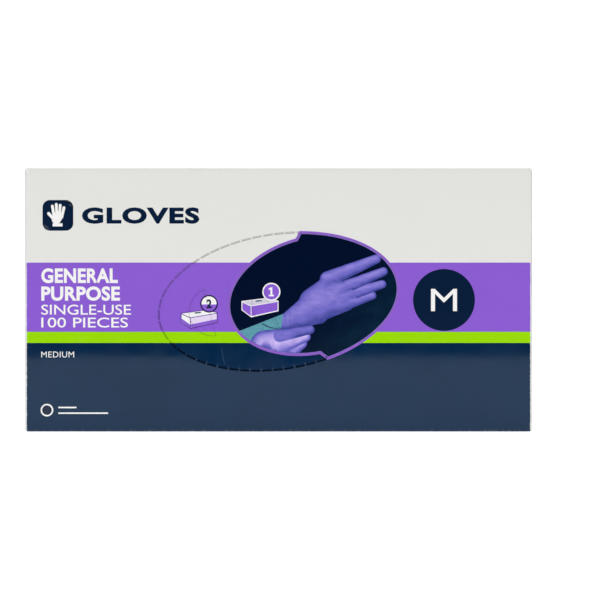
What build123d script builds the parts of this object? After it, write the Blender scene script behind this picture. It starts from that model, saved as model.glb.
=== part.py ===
"""Dispensing carton of disposable gloves, standing on its long narrow side.

Millimetres. +X runs to the right along the front, +Y from the front to the back, +Z up.
The origin is the middle of the base. The carton is full and closed, and the perforated
tear-outs of its opening are still in place.
"""
import os
from math import cos, radians, sin

from build123d import *

# ---------------------------------------------------------------- carton
LENGTH = 241.0  # along X
DEPTH = 70.0  # along Y
HEIGHT = 125.0  # along Z
BOARD = 0.5  # thickness of the folding board
FOLD_RADIUS = 0.45  # outside radius of a folded edge
AIR = 0.1  # between two closed flaps, and between a flap and the panel it folds from

# ---------------------------------------------------------------- opening in the front
OVAL_HEIGHT = 61.75  # its centre above the base, half way along the front
OVAL_A = 57.0
OVAL_B = 31.7
OVAL_TILT = 8.8
SLIT = 0.14  # width of the perforation's cuts

# the rounded end of the first tear-out, and where its outline steps out to the oval
LEAF_CENTRE = (16.7, 64.9)
LEAF_A = 40.7
LEAF_B = 27.1
LEAF_TILT = 13.3
UPPER_STEP = ((8.2, 89.6), (10.9, 95.0))
LOWER_STEP = ((19.0, 38.5), (23.5, 35.2))

# push-in thumb tabs: centre, and the first and last angle of the cut
TAB_RADIUS = 11.4
TAB_1 = ((-1.2, 60.4), 128.0, 279.5)
TAB_2 = ((-31.1, 56.8), 112.0, 277.0)

# ---------------------------------------------------------------- flaps and adhesive
OUTER_FLAP = 69.6  # the outer flap covers the whole end
INNER_FLAP = 42.0
FLAP_SHY = 0.6  # how far the end flaps stop short of the base and the top
FLAP_CORNER = 3.0
DUST_FLAP = 56.0
DUST_TAPER = 7.0
GLUE_FLAP = 18.0
GLUE_FLAP_LENGTH = 232.0
GLUE_FLAP_TAPER = 5.0
SEAM_GLUE = (222.0, 12.0, 0.1)  # length, width and thickness
BEAD = (4.0, 96.0, 0.06)  # width, length and thickness
BEAD_PLACES = (1.0, 12.0, 23.0)  # along Y

# ---------------------------------------------------------------- gloves, lying flat
GLOVES = 100
GLOVE_THICKNESS = 0.2  # two walls
GLOVE_PITCH = 0.61
GLOVE_LENGTH = 233.0
CUFF_WIDTH = 86.0
PALM_WIDTH = 94.0
PALM_LENGTH = 158.0  # from the cuff to the knuckles
FINGER_WIDTH = 22.0
FINGER_LENGTHS = (56.0, 71.0, 75.0, 66.0)  # little finger to index, from the knuckles
FINGER_ROOT = 20.0  # how far a finger's outline runs on into the palm
THUMB_WIDTH = 25.0
THUMB_LENGTH = 92.0
THUMB_ANGLE = 28.0
THUMB_ROOT = (72.0, 22.0)  # from the cuff, and up from the palm's middle

# ---------------------------------------------------------------- derived places
HALF_LENGTH = LENGTH / 2
HALF_DEPTH = DEPTH / 2
MIDDLE = HEIGHT / 2
INSIDE = HALF_DEPTH - BOARD  # from the middle to the inner face of the front or back
EDGE = BOARD + AIR  # from a crease to the edge of the flap that folds there

# outer faces of the three layers that close an end
OUTER_LAYER = HALF_LENGTH
INNER_LAYER = OUTER_LAYER - EDGE
DUST_LAYER = INNER_LAYER - EDGE

GLUE_FLAP_FACE = INSIDE - SEAM_GLUE[2]
STACK_BACK = GLUE_FLAP_FACE - BOARD - AIR

FRONT = Plane.XZ.offset(INSIDE)  # inner face of the front, seen from outside
ENDS = ((-1, "left"), (1, "right"))


def finish(builder, name):
    """Labels a finished sub-part and writes it."""
    builder.part.label = name
    export_step(builder.part, f"parts/{name}.step")


def oval(grow):
    """The opening's outline, grown by an amount."""
    with BuildSketch(mode=Mode.PRIVATE) as outline:
        with Locations(Location((0, OVAL_HEIGHT, 0), (0, 0, OVAL_TILT))):
            Ellipse(OVAL_A + grow, OVAL_B + grow)
    return outline.sketch


def step_line(step, turn, grow):
    """A step's two points, the second past the oval, moved sideways by an amount."""
    inner, outer = (Vector(*point) for point in step)
    aside = (outer - inner).normalized().rotate(Axis.Z, turn) * grow
    return inner + aside, outer + (outer - inner) * 0.5 + aside


def leaf_side(grow):
    """All that lies on the first tear-out's side of the cut between the two, grown."""
    upper_in, upper_out = step_line(UPPER_STEP, 90, grow)
    lower_in, lower_out = step_line(LOWER_STEP, -90, grow)
    far_right = OVAL_A * 1.3
    with BuildSketch(mode=Mode.PRIVATE) as side:
        with Locations(Location((*LEAF_CENTRE, 0), (0, 0, LEAF_TILT))):
            Ellipse(LEAF_A + grow, LEAF_B + grow)
        with BuildLine():
            Polyline(
                upper_in,
                upper_out,
                (far_right, upper_out.Y),
                (far_right, lower_out.Y),
                lower_out,
                lower_in,
                close=True,
            )
        make_face()
    return side.sketch


def half_moon(tab, grow, crease):
    """A thumb tab between its arc, grown, and its crease, moved towards the arc."""
    (x, z), first, last = tab
    upper, lower = (
        Vector(x + TAB_RADIUS * cos(radians(a)), z + TAB_RADIUS * sin(radians(a)))
        for a in (first, last)
    )
    along = (lower - upper).normalized()
    to_arc = Vector(along.Y, -along.X)
    middle = (upper + lower) * 0.5 + to_arc * crease
    far = TAB_RADIUS * 3
    with BuildSketch(mode=Mode.PRIVATE) as outline:
        with BuildLine():
            Polyline(
                middle + along * far,
                middle - along * far,
                middle + (to_arc - along) * far,
                middle + (to_arc + along) * far,
                close=True,
            )
        make_face()
        with Locations((x, z)):
            Circle(TAB_RADIUS + grow, mode=Mode.INTERSECT)
    return outline.sketch


def end_flap(length):
    """An end flap's outline, from its crease at the origin, with its free corners rounded."""
    with BuildSketch(mode=Mode.PRIVATE) as outline:
        with Locations(((EDGE + length) / 2, MIDDLE)):
            Rectangle(length - EDGE, HEIGHT - 2 * FLAP_SHY)
        fillet(outline.vertices().group_by(Axis.X)[-1], radius=FLAP_CORNER)
    return outline.sketch


def glove_outline():
    """A glove lying flat, its cuff on the left and its thumb above, centred on the origin."""
    cuff = -GLOVE_LENGTH / 2
    knuckles = cuff + PALM_LENGTH
    pitch = PALM_WIDTH / len(FINGER_LENGTHS)
    with BuildSketch(mode=Mode.PRIVATE) as outline:
        with BuildLine():
            Polyline(
                (cuff, -CUFF_WIDTH / 2),
                (knuckles, -PALM_WIDTH / 2),
                (knuckles, PALM_WIDTH / 2),
                (cuff, CUFF_WIDTH / 2),
                close=True,
            )
        make_face()
        for index, length in enumerate(FINGER_LENGTHS):
            whole = length + FINGER_ROOT
            with Locations((knuckles + length - whole / 2, (index - 1.5) * pitch)):
                SlotOverall(whole, FINGER_WIDTH)
        reach = Vector(THUMB_LENGTH / 2, 0).rotate(Axis.Z, THUMB_ANGLE)
        middle = Vector(cuff + THUMB_ROOT[0], THUMB_ROOT[1]) + reach
        with Locations(middle):
            SlotOverall(THUMB_LENGTH, THUMB_WIDTH, rotation=THUMB_ANGLE)
    sketch = outline.sketch
    return sketch.moved(Location((0, -sketch.bounding_box().center().Y, 0)))


def glove_planes(numbers):
    """The plane of each numbered glove: cuffs to the left on odd numbers, right on even."""
    planes = []
    for number in numbers:
        across = 1 if number % 2 else -1
        origin = (0, STACK_BACK - number * GLOVE_PITCH, MIDDLE)
        planes.append(Plane(origin=origin, x_dir=(across, 0, 0), z_dir=(0, -1, 0)))
    return planes


os.makedirs("parts", exist_ok=True)

# ---------------------------------------------------------------- front and back
with BuildPart() as front_panel:
    with BuildSketch(FRONT):
        with Locations((0, MIDDLE)):
            Rectangle(LENGTH, HEIGHT)
    extrude(amount=BOARD)
    fillet(front_panel.faces().sort_by(Axis.Y)[0].edges(), radius=FOLD_RADIUS)
    with BuildSketch(FRONT):
        add(oval(SLIT / 2))
    extrude(amount=BOARD, mode=Mode.SUBTRACT)
finish(front_panel, "front_panel")

with BuildPart() as back_panel:
    with BuildSketch(Plane.XZ.offset(-INSIDE)):
        with Locations((0, MIDDLE)):
            Rectangle(2 * INNER_LAYER, HEIGHT)
    extrude(amount=-BOARD)
    fillet(back_panel.faces().sort_by(Axis.Y)[-1].edges(), radius=FOLD_RADIUS)
finish(back_panel, "back_panel")

# ---------------------------------------------------------------- top and bottom
with BuildPart() as top_panel:
    with BuildSketch(Plane.XY.offset(HEIGHT - BOARD)):
        Rectangle(2 * DUST_LAYER, 2 * INSIDE)
    extrude(amount=BOARD)
    upper_edges = top_panel.faces().sort_by(Axis.Z)[-1].edges()
    fillet(upper_edges.filter_by(Axis.Y), radius=FOLD_RADIUS)
finish(top_panel, "top_panel")

with BuildPart() as bottom_panel:
    with BuildSketch(Plane.XY):
        Rectangle(2 * DUST_LAYER, 2 * INSIDE)
    extrude(amount=BOARD)
    lower_edges = bottom_panel.faces().sort_by(Axis.Z)[0].edges()
    fillet(lower_edges.filter_by(Axis.Y), radius=FOLD_RADIUS)
finish(bottom_panel, "bottom_panel")

# ---------------------------------------------------------------- glued seam
with BuildPart() as glue_flap:
    with BuildSketch(Plane.XZ.offset(-GLUE_FLAP_FACE)):
        with BuildLine():
            Polyline(
                (-GLUE_FLAP_LENGTH / 2, HEIGHT - BOARD),
                (GLUE_FLAP_LENGTH / 2, HEIGHT - BOARD),
                (GLUE_FLAP_LENGTH / 2 - GLUE_FLAP_TAPER, HEIGHT - BOARD - GLUE_FLAP),
                (GLUE_FLAP_TAPER - GLUE_FLAP_LENGTH / 2, HEIGHT - BOARD - GLUE_FLAP),
                close=True,
            )
        make_face()
    extrude(amount=BOARD)
finish(glue_flap, "glue_flap")

with BuildPart() as seam_glue:
    with BuildSketch(Plane.XZ.offset(-INSIDE)):
        with Locations((0, HEIGHT - BOARD - GLUE_FLAP / 2)):
            RectangleRounded(SEAM_GLUE[0], SEAM_GLUE[1], radius=SEAM_GLUE[1] / 4)
    extrude(amount=SEAM_GLUE[2])
finish(seam_glue, "seam_glue")

# ---------------------------------------------------------------- end flaps
for side, end in ENDS:
    for base, tip, level in (
        (HEIGHT - BOARD, HEIGHT - BOARD - DUST_FLAP, "top"),
        (BOARD, BOARD + DUST_FLAP, "bottom"),
    ):
        with BuildPart() as dust_flap:
            with BuildSketch(Plane.YZ.offset(side * DUST_LAYER)):
                with BuildLine():
                    Polyline(
                        (-INSIDE + AIR, base),
                        (INSIDE - AIR, base),
                        (INSIDE - DUST_TAPER, tip),
                        (DUST_TAPER - INSIDE, tip),
                        close=True,
                    )
                make_face()
            extrude(amount=-side * BOARD)
        finish(dust_flap, f"{end}_{level}_dust_flap")

    with BuildPart() as outer_flap:
        crease = Plane(origin=(side * OUTER_LAYER, -HALF_DEPTH, 0), x_dir=(0, 1, 0), z_dir=(1, 0, 0))
        with BuildSketch(crease):
            add(end_flap(OUTER_FLAP))
        extrude(amount=-side * BOARD)
    finish(outer_flap, f"{end}_outer_flap")

    with BuildPart() as inner_flap:
        crease = Plane(origin=(side * INNER_LAYER, HALF_DEPTH, 0), x_dir=(0, -1, 0), z_dir=(-1, 0, 0))
        with BuildSketch(crease):
            add(end_flap(INNER_FLAP))
        extrude(amount=side * BOARD)
    finish(inner_flap, f"{end}_inner_flap")

    with BuildPart() as end_glue:
        with BuildSketch(Plane.YZ.offset(side * INNER_LAYER)):
            with Locations(*((place, MIDDLE) for place in BEAD_PLACES)):
                RectangleRounded(BEAD[0], BEAD[1], radius=BEAD[0] / 4)
        extrude(amount=side * BEAD[2])
    finish(end_glue, f"{end}_end_glue")

# ---------------------------------------------------------------- tear-outs
with BuildPart() as tear_out_1:
    with BuildSketch(FRONT):
        add(oval(-SLIT / 2))
        add(leaf_side(-SLIT / 2), mode=Mode.INTERSECT)
        add(half_moon(TAB_1, SLIT / 2, 0), mode=Mode.SUBTRACT)
    extrude(amount=BOARD)
finish(tear_out_1, "tear_out_1")

with BuildPart() as tear_out_2:
    with BuildSketch(FRONT):
        add(oval(-SLIT / 2))
        add(leaf_side(SLIT / 2), mode=Mode.SUBTRACT)
        add(half_moon(TAB_2, SLIT / 2, 0), mode=Mode.SUBTRACT)
    extrude(amount=BOARD)
finish(tear_out_2, "tear_out_2")

for number, tab in enumerate((TAB_1, TAB_2), start=1):
    with BuildPart() as thumb_tab:
        with BuildSketch(FRONT):
            add(half_moon(tab, -SLIT / 2, AIR))
        extrude(amount=BOARD)
    finish(thumb_tab, f"thumb_tab_{number}")

# ---------------------------------------------------------------- gloves
for name, numbers in (
    ("first_glove", [GLOVES - 1]),
    ("gloves_cuff_left", range(1, GLOVES - 1, 2)),
    ("gloves_cuff_right", range(0, GLOVES, 2)),
):
    with BuildPart() as gloves:
        with BuildSketch(*glove_planes(numbers)):
            add(glove_outline())
        extrude(amount=GLOVE_THICKNESS)
    finish(gloves, name)
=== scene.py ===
"""Dispensing carton of disposable gloves: its detailed pieces, finishes, camera and light.

Lengths are millimetres in the frame's own directions: +X runs to the right along the front,
+Y from the front to the back and +Z up, with the origin in the middle of the base. MM turns
them into the scene's metres. Every finished piece has its place in its mesh.
"""
from math import atan2, cos, hypot, pi, radians, sin

import bmesh
import bpy
from mathutils import Matrix, Vector, noise


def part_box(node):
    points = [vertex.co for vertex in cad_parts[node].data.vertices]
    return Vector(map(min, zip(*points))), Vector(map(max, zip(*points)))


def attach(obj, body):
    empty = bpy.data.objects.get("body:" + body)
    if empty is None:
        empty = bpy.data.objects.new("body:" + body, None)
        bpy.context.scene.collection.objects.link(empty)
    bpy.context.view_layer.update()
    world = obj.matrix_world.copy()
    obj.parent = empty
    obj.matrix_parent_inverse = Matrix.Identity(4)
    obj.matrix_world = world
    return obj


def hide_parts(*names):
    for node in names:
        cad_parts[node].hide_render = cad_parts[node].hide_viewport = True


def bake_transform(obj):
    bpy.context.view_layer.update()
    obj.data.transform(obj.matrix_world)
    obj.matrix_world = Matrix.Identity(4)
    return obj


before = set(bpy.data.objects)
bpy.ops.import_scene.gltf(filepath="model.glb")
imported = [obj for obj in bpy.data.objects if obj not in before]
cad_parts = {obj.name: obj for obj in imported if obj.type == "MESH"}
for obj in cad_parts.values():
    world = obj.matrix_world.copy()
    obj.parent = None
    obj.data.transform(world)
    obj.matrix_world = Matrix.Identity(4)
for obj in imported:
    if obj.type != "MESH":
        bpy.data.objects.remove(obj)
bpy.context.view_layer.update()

MM = 0.001



def corners(node):
    """The low and high corners of a node's box, in mm."""
    return [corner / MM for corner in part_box(node)]


# ---------------------------------------------------------------- sizes from the frame
front_low, front_high = corners("front_panel")
back_high = corners("back_panel")[1]
BOARD = front_high.y - front_low.y  # thickness of the folding board
HALF_LENGTH = front_high.x
HEIGHT = front_high.z
HALF_DEPTH = back_high.y
MIDDLE = HEIGHT / 2
BACK_HALF = back_high.x  # the back is shorter by the flaps that fold over its ends
TOP_HALF = corners("top_panel")[1].x
FOLD = 0.45  # outside radius of a folded edge
FLAP_CORNER = 3.0  # radii at the free corners of the end, dust and glue flaps
DUST_CORNER = 2.0
GLUE_CORNER = 1.5
DUST_TAPER = 7.0  # how much narrower a flap's free edge is on each side
GLUE_TAPER = 5.0
SOFT = 2.2  # how far the board leans in beside a crease, and how deep
LEAN = 0.11
LEVEL_LEAN = 0.2 * LEAN  # the top and the bottom lean in less

# ---------------------------------------------------------------- opening, as in the frame
OVAL = ((0.0, 61.75), 57.0, 31.7, 8.8)  # centre, half length, half height, tilt
LEAF = ((16.7, 64.9), 40.7, 27.1, 13.3)  # the first tear-out's rounded end
UPPER_STEP = ((8.2, 89.6), (10.9, 95.0))
LOWER_STEP = ((19.0, 38.5), (23.5, 35.2))
TAB_RADIUS = 11.4
TAB_1 = ((-1.2, 60.4), 128.0, 279.5)  # centre, first and last angle of the cut
TAB_2 = ((-31.1, 56.8), 112.0, 277.0)
SLIT = 0.14
TAB_AIR = 0.1  # between a tab and the board that it folds from
NICK = 0.7  # length of the uncut board between two cuts
NICK_LENGTH = 1.0  # how far it shows across the tear-out
NICK_PROUD = 0.012
CUT_PITCH = 5.3
CRUSH = 0.8  # how far from a cut the board is pressed in, and how deep
CRUSH_DEPTH = 0.2
CRUSH_NORMAL = -0.998  # a front face whose normal's Y is above this is part of the crush, and is painted darker as shade

# ---------------------------------------------------------------- print
GREEN_LOW = 42.1
GREEN_HIGH = 47.4
PURPLE_HIGH = 80.3
RUBBED = 1.3  # width of the worn strip along a fold
INK = 0.01  # thickness of one layer of ink
BOW_DEPTH = 3.0  # how far the dark band swells out, and how soon above its foot
BOW_POWER = 2.2
BORDER_IN = 0.3  # border round the first tear-out, inside its cut
BORDER_OUT = 1.0  # and outside it

# ---------------------------------------------------------------- faces to print on
UPRIGHT = Matrix.Rotation(pi / 2, 4, "X")
FRONT_FACE = Matrix.Translation((0, front_low.y * MM, 0)) @ UPRIGHT
BACK_FACE = Matrix.Translation((0, HALF_DEPTH * MM, 0)) @ Matrix.Rotation(pi, 4, "Z") @ UPRIGHT
TOP_FACE = Matrix.Translation((0, 0, HEIGHT * MM))


def end_face(side):
    """The outer face of an end: side is -1 on the left and 1 on the right."""
    turned = Matrix.Rotation(side * pi / 2, 4, "Z") @ UPRIGHT
    return Matrix.Translation((side * HALF_LENGTH * MM, 0, 0)) @ turned


# ================================================================ modelling helpers
def at(x, y, z):
    """A point in the scene's metres."""
    return Vector((x, y, z)) * MM


def deselect():
    """Leaves nothing selected."""
    bpy.ops.object.select_all(action="DESELECT")


def only(obj):
    """Selects one object and makes it active."""
    deselect()
    obj.select_set(True)
    bpy.context.view_layer.objects.active = obj
    return obj


def named(obj, name):
    """Names an object and its mesh."""
    obj.name = obj.data.name = name
    return obj


def added(name):
    """The object that the last operator added, named."""
    return named(bpy.context.object, name)


def placed(data):
    """A new object in the scene for a mesh, curve, light or camera, with its name."""
    obj = bpy.data.objects.new(data.name, data)
    bpy.context.scene.collection.objects.link(obj)
    return obj


def meshed(obj):
    """Text or a curve converted to a mesh."""
    only(obj)
    bpy.ops.object.convert(target="MESH")
    return bpy.context.object


def settle(obj, matrix):
    """Puts an object at a place and moves that place into its mesh."""
    obj.matrix_world = matrix
    only(obj)
    bpy.ops.object.transform_apply(location=True, rotation=True, scale=True)
    return obj


def edit(obj, mode, test):
    """Opens edit mode with the vertices, edges or faces whose middle passes a test, in mm."""
    only(obj)
    bpy.ops.object.mode_set(mode="EDIT")
    bpy.ops.mesh.select_mode(type=mode)
    bpy.ops.mesh.select_all(action="DESELECT")
    mesh = bmesh.from_edit_mesh(obj.data)
    mesh.normal_update()
    if mode == "VERT":
        for vert in mesh.verts:
            vert.select_set(test(vert.co / MM))
    elif mode == "EDGE":
        for edge in mesh.edges:
            ends = [vert.co / MM for vert in edge.verts]
            edge.select_set(test(*ends))
    else:
        for face in mesh.faces:
            face.select_set(test(face.calc_center_median() / MM, face.normal))
    mesh.select_flush_mode()
    bmesh.update_edit_mesh(obj.data)


def done():
    """Back to object mode."""
    bpy.ops.object.mode_set(mode="OBJECT")


def everything(obj):
    """Opens edit mode with all selected."""
    only(obj)
    bpy.ops.object.mode_set(mode="EDIT")
    bpy.ops.mesh.select_mode(type="FACE")
    bpy.ops.mesh.select_all(action="SELECT")


def cut(obj, places, normal):
    """Cuts an edge loop right through a mesh at each place along an axis."""
    for place in places:
        everything(obj)
        bpy.ops.mesh.bisect(plane_co=Vector(normal) * place * MM, plane_no=normal)
        done()


def halve(obj, point, normal, keep):
    """Cuts a solid at a plane and closes it. keep is 1 for the normal's side and -1 for the other."""
    everything(obj)
    bpy.ops.mesh.bisect(
        plane_co=point, plane_no=normal, use_fill=True, clear_inner=keep > 0, clear_outer=keep < 0
    )
    done()


def clean(obj, gap=0.001):
    """Merges vertices less than a gap apart and turns all faces outwards."""
    everything(obj)
    bpy.ops.mesh.remove_doubles(threshold=gap * MM)
    bpy.ops.mesh.select_all(action="SELECT")
    bpy.ops.mesh.normals_make_consistent(inside=False)
    done()
    return obj


def applied(obj, kind, **settings):
    """Adds a modifier to an object, applies it, and gives the object."""
    only(obj)
    modifier = obj.modifiers.new(kind.lower(), kind)
    for key, value in settings.items():
        setattr(modifier, key, value)
    bpy.ops.object.modifier_apply(modifier=modifier.name)
    return obj


def carve(obj, tool, operation="DIFFERENCE"):
    """Joins, cuts or keeps what another solid holds. The tool stays."""
    return applied(obj, "BOOLEAN", object=tool, operation=operation, solver="EXACT")


def twin(obj, name):
    """A copy with its own mesh."""
    copy = obj.copy()
    copy.data = obj.data.copy()
    bpy.context.scene.collection.objects.link(copy)
    return named(copy, name)


def discard(*objects):
    """Removes objects that were only tools."""
    for obj in objects:
        bpy.data.objects.remove(obj, do_unlink=True)


def joined(name, pieces):
    """Several meshes made one. Those that nothing is left of are dropped."""
    empty = [piece for piece in pieces if not piece.data.polygons]
    pieces = [piece for piece in pieces if piece not in empty]
    discard(*empty)
    only(pieces[0])
    for piece in pieces:
        piece.select_set(True)
    bpy.ops.object.join()
    return added(name)


def smooth(obj, degrees=35, weighted=True):
    """Smooth shading up to an angle, with the flat faces kept flat."""
    only(obj)
    bpy.ops.object.shade_smooth_by_angle(angle=radians(degrees))
    if weighted:
        applied(obj, "WEIGHTED_NORMAL", keep_sharp=True)
    return obj


def hand_over(obj, body, slot, *nodes):
    """Says what a finished piece moves with and hides the nodes it stands for. slot is not used."""
    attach(obj, body)
    if nodes:
        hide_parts(*nodes)
    return obj


# ================================================================ materials
def linear(red, green, blue):
    """A colour given on the usual 0 to 255 scale, as light."""
    steps = (value / 255 for value in (red, green, blue))
    return tuple(s / 12.92 if s < 0.04045 else ((s + 0.055) / 1.055) ** 2.4 for s in steps) + (1.0,)


def scaled(colour, factor):
    """A colour made lighter or darker."""
    return tuple(min(1.0, channel * factor) for channel in colour[:3]) + (1.0,)


class Finish:
    """A material's node tree, with short calls for the nodes used here."""

    def __init__(self, name, roughness, specular=0.35, **sockets):
        self.material = bpy.data.materials.new(name)
        self.material.use_nodes = True
        self.tree = self.material.node_tree
        self.shader = self.tree.nodes["Principled BSDF"]
        self.fill(self.shader, Roughness=roughness, Specular_IOR_Level=specular, **sockets)
        self.place = self.add("TexCoord").outputs["Object"]

    def set(self, socket, value):
        """Links an output to a socket, or writes a value there."""
        if isinstance(value, bpy.types.NodeSocket):
            self.tree.links.new(value, socket)
        else:
            socket.default_value = value

    def fill(self, node, **values):
        """Sets a node's named inputs, except those given as None."""
        for name, value in values.items():
            if value is not None:
                self.set(node.inputs[name.replace("_", " ")], value)
        return node

    def add(self, kind, **values):
        """A node of some kind, with its named inputs set."""
        return self.fill(self.tree.nodes.new("ShaderNode" + kind), **values)

    def math(self, operation, *values):
        """A calculation on numbers."""
        node = self.add("Math")
        node.operation = operation
        for socket, value in zip(node.inputs, values):
            self.set(socket, value)
        return node.outputs[0]

    def grain(self, size, detail, stretch=(1, 1, 1)):
        """Noise whose features are about size millimetres across."""
        place = self.add("Mapping", Scale=stretch, Vector=self.place).outputs[0]
        return self.add("TexNoise", Scale=1 / (size * MM), Detail=detail, Vector=place).outputs["Fac"]

    def ramp(self, value, low, high, to_low=0.0, to_high=1.0):
        """A number carried from one range to another and held at its ends."""
        ends = {"From_Min": low, "From_Max": high, "To_Min": to_low, "To_Max": to_high}
        return self.add("MapRange", Value=value, **ends).outputs["Result"]

    def mix(self, share, first, second):
        """Two colours mixed."""
        node = self.add("Mix", Factor=share)
        node.data_type = "RGBA"
        self.set(node.inputs[6], first)
        self.set(node.inputs[7], second)
        return node.outputs[2]

    def along(self):
        """The three coordinates, in metres."""
        return self.add("SeparateXYZ", Vector=self.place).outputs

    def bump(self, height, depth, onto=None):
        """Relief whose full height is depth millimetres."""
        return self.add("Bump", Distance=depth * MM, Height=height, Normal=onto).outputs[0]

    def folds(self):
        """How near a point is to the folded edges, 0 to 1: upright, long and end ones."""
        x, y, z = self.along()
        from_middle = self.math("ABSOLUTE", self.math("SUBTRACT", z, MIDDLE * MM))
        near_end = self.ramp(self.math("ABSOLUTE", x), (HALF_LENGTH - RUBBED) * MM, HALF_LENGTH * MM)
        near_side = self.ramp(self.math("ABSOLUTE", y), (HALF_DEPTH - RUBBED) * MM, HALF_DEPTH * MM)
        near_level = self.ramp(from_middle, (MIDDLE - RUBBED) * MM, MIDDLE * MM)
        upright = self.math("MULTIPLY", near_end, near_side)
        long = self.math("MULTIPLY", near_side, near_level)
        return upright, long, self.math("MULTIPLY", near_level, near_end)

    def finish(self, colour, roughness=None, normal=None):
        """Links the last outputs to the shader and gives the material."""
        self.fill(self.shader, Base_Color=colour, Roughness=roughness, Normal=normal)
        return self.material


BARE = linear(196, 188, 172)
# the pale strip on the upright folds: partly cracked coating, partly a painted reflection of the white
# surround
CRACK_AND_REFLECTION_WHITE = linear(238, 237, 236)
COATING_ROUGHNESS = 0.09
INK_ROUGHNESS = 0.1


def printed(name, colour, uneven=0.04, bow=0.0, sheen=(1, 1, 1, 1)):
    """Ink and varnish on coated board, rubbed on the long and end folds. The upright folds are whitened:
    partly cracked coating, partly a painted reflection of the white surround.

    bow is how far, in mm, the face swells out between its foot and the top of the dark band.
    """
    finish = Finish(name, COATING_ROUGHNESS, Specular_Tint=sheen)
    cloud = finish.grain(22.0, 4.0)
    speck = finish.grain(0.55, 2.0)
    tone = finish.mix(cloud, scaled(colour, 1 - uneven), scaled(colour, 1 + uneven))
    tone = finish.mix(finish.ramp(speck, 0.62, 0.72, 0.0, 0.1), tone, scaled(colour, 0.8))
    upright, long, end = finish.folds()
    patchy = finish.ramp(finish.grain(1.6, 5.0), 0.54, 0.68)
    level = finish.math("MAXIMUM", finish.math("MULTIPLY", long, 0.25), end)
    rubbed = finish.math("MULTIPLY", level, patchy)
    tone = finish.mix(finish.math("MULTIPLY", rubbed, 0.75), tone, BARE)
    # whitens the upright folds: partly cracked coating, partly a painted reflection of the white surround
    crack_and_reflection = finish.math("ADD", upright, finish.ramp(finish.grain(1.2, 4.0), 0.3, 0.7, -0.08, 0.08))
    tone = finish.mix(finish.ramp(crack_and_reflection, 0.2, 0.38, 0.0, 0.9), tone, CRACK_AND_REFLECTION_WHITE)
    relief = finish.bump(finish.grain(0.9, 3.0), 0.003)
    relief = finish.bump(finish.grain(30.0, 1.0), 0.1, relief)
    if bow:
        below = finish.ramp(finish.along()[2], 0.0, (GREEN_LOW - 2) * MM, 1.0, 0.0)
        swell = finish.math("SUBTRACT", 1.0, finish.math("POWER", below, BOW_POWER))
        relief = finish.bump(swell, bow, relief)
    smoothest, roughest = COATING_ROUGHNESS - 0.03, COATING_ROUGHNESS + 0.04
    shine = finish.ramp(finish.grain(9.0, 3.0), 0.3, 0.7, smoothest, roughest)
    return finish.finish(tone, shine, relief)


def bare_board():
    """The uncoated side and the cut edges: recycled fibre."""
    finish = Finish("bare_grey_board", 0.85, 0.25)
    fibre = finish.grain(1.1, 6.0, (1, 3, 1))
    fleck = finish.ramp(finish.grain(0.8, 2.0), 0.66, 0.72, 0.0, 0.55)
    tone = finish.mix(fibre, scaled(BARE, 0.82), scaled(BARE, 1.06))
    tone = finish.mix(fleck, tone, linear(120, 108, 92))
    return finish.finish(tone, None, finish.bump(fibre, 0.03))


def ink(name, colour, uneven=0.05):
    """A solid printed colour."""
    finish = Finish(name, INK_ROUGHNESS)
    tone = finish.mix(finish.grain(6.0, 4.0), scaled(colour, 1 - uneven), scaled(colour, 1 + uneven))
    tone = finish.mix(finish.ramp(finish.grain(0.4, 1.0), 0.6, 0.75, 0.0, 0.12), tone, scaled(colour, 0.8))
    return finish.finish(tone, None, finish.bump(finish.grain(0.9, 3.0), 0.004))


def picture_ground():
    """The dark ground of the glove picture, which clears a little towards the lower right."""
    finish = Finish("picture_ground", COATING_ROUGHNESS)
    x, _, z = finish.along()
    lower = finish.ramp(finish.math("SUBTRACT", x, z), -35 * MM, 0.0)
    share = finish.math("MULTIPLY", lower, finish.ramp(finish.grain(7.0, 4.0), 0.3, 0.7, 0.35, 1.0))
    tone = finish.mix(share, linear(0, 13, 40), linear(8, 40, 60))
    relief = finish.bump(finish.grain(0.9, 3.0), 0.006)
    return finish.finish(tone, None, relief)


def picture_glove():
    """The pictured glove, shaded from its outlines by the shade attribute."""
    finish = Finish("picture_glove", INK_ROUGHNESS)
    shade = finish.add("Attribute")
    shade.attribute_name = "shade"
    creases = finish.grain(3.0, 5.0, (0.7, 1, 1.6))
    mottled = finish.math("ADD", shade.outputs["Fac"], finish.ramp(creases, 0.3, 0.7, -0.1, 0.1))
    dark = finish.mix(finish.ramp(mottled, 0.0, 0.45), linear(58, 66, 146), linear(112, 106, 196))
    tone = finish.mix(finish.ramp(mottled, 0.5, 0.85), dark, linear(150, 138, 216))
    tone = finish.mix(finish.ramp(mottled, 0.85, 1.35), tone, linear(206, 186, 240))
    return finish.finish(tone)


def sleeve():
    """The pictured sleeve: a woven teal."""
    finish = Finish("picture_sleeve", INK_ROUGHNESS)
    weave = finish.grain(1.2, 4.0, (1, 1, 3))
    tone = finish.mix(finish.ramp(weave, 0.3, 0.7), linear(70, 134, 152), linear(106, 166, 178))
    return finish.finish(tone)


def nitrile():
    """Matt glove film, finely grained."""
    depths = (0.002, 0.0008, 0.003)
    finish = Finish("nitrile_film", 0.42, 0.45, Subsurface_Weight=0.08, Subsurface_Radius=depths)
    cloud = finish.grain(12.0, 4.0)
    tone = finish.mix(cloud, linear(98, 48, 146), linear(134, 82, 186))
    relief = finish.bump(finish.grain(0.7, 3.0), 0.03)
    relief = finish.bump(finish.grain(5.0, 3.0), 0.25, relief)
    shine = finish.ramp(finish.grain(4.0, 3.0), 0.3, 0.7, 0.34, 0.52)
    return finish.finish(tone, shine, relief)


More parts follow.
